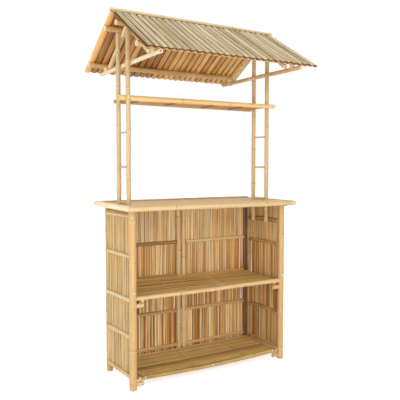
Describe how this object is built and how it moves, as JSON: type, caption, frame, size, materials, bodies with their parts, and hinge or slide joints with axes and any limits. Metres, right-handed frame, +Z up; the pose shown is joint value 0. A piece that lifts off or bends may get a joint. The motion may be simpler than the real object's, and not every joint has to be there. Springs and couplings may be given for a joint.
{
  "type": "bamboo bar hut",
  "caption": "Free-standing bamboo bar with an open shelved cabinet, an overhanging counter, ladder uprights carrying a high shelf, and a gabled roof of split culms.",
  "frame": {"origin": "on the floor, under the middle of the ridge and midway between the end posts", "axes": "+Z up; +X along the bar to the right as seen from the open shelf side; -Y towards the open shelf side, +Y towards the customer's side"},
  "size_m": [1.114, 0.87, 2.061],
  "materials": {
    "posts": "satin",
    "battens": "satin",
    "stiles": "satin",
    "slats": "satin",
    "counter_edge": "satin",
    "counter_top": "satin",
    "shelf_strips": "satin",
    "shelf_rails": "satin",
    "uprights": "satin",
    "roof_frame": "satin",
    "roof_culms": "satin",
    "fasteners": "dull"
  },
  "bodies": {
    "root": {"back_battens_inner": "battens", "back_battens_outer": "battens", "back_cleats": "stiles", "back_mats_left": "slats", "back_mats_right": "slats", "back_stile_left_inner": "stiles", "back_stile_left_outer": "stiles", "back_stile_right_inner": "stiles", "back_stile_right_outer": "stiles", "cabinet_screws": "fasteners", "counter_deck": "counter_top", "counter_joists": "counter_edge", "counter_pole_front": "counter_edge", "counter_pole_left": "counter_edge", "counter_pole_rear": "counter_edge", "counter_pole_right": "counter_edge", "counter_screws": "fasteners", "high_shelf_bearers": "uprights", "high_shelf_deck": "shelf_strips", "high_shelf_rail_front": "uprights", "high_shelf_rail_rear": "uprights", "post_front_left": "posts", "post_front_right": "posts", "post_rear_left": "posts", "post_rear_right": "posts", "purlin_packers": "roof_frame", "purlins_front": "roof_frame", "purlins_rear": "roof_frame", "rafters": "roof_frame", "ridge_pole": "roof_frame", "roof_caps_front": "roof_culms", "roof_caps_rear": "roof_culms", "roof_troughs_front": "roof_culms", "roof_troughs_rear": "roof_culms", "shelf_low_deck": "shelf_strips", "shelf_low_joists": "shelf_rails", "shelf_low_pegs": "shelf_rails", "shelf_low_rail_front": "shelf_rails", "shelf_low_rail_rear": "shelf_rails", "shelf_mid_deck": "shelf_strips", "shelf_mid_joists": "shelf_rails", "shelf_mid_pegs": "shelf_rails", "shelf_mid_rail_front": "shelf_rails", "shelf_mid_rail_rear": "shelf_rails", "side_battens_inner_left": "battens", "side_battens_inner_right": "battens", "side_battens_outer_left": "battens", "side_battens_outer_right": "battens", "side_mats_left": "slats", "side_mats_right": "slats", "tie_bolts": "fasteners", "tie_rod_left": "roof_frame", "tie_rod_right": "roof_frame", "upper_screws": "fasteners", "upright_feet": "uprights", "upright_left_front": "uprights", "upright_left_rear": "uprights", "upright_right_front": "uprights", "upright_right_rear": "uprights", "upright_rungs": "uprights"}
  },
  "joints": []
}
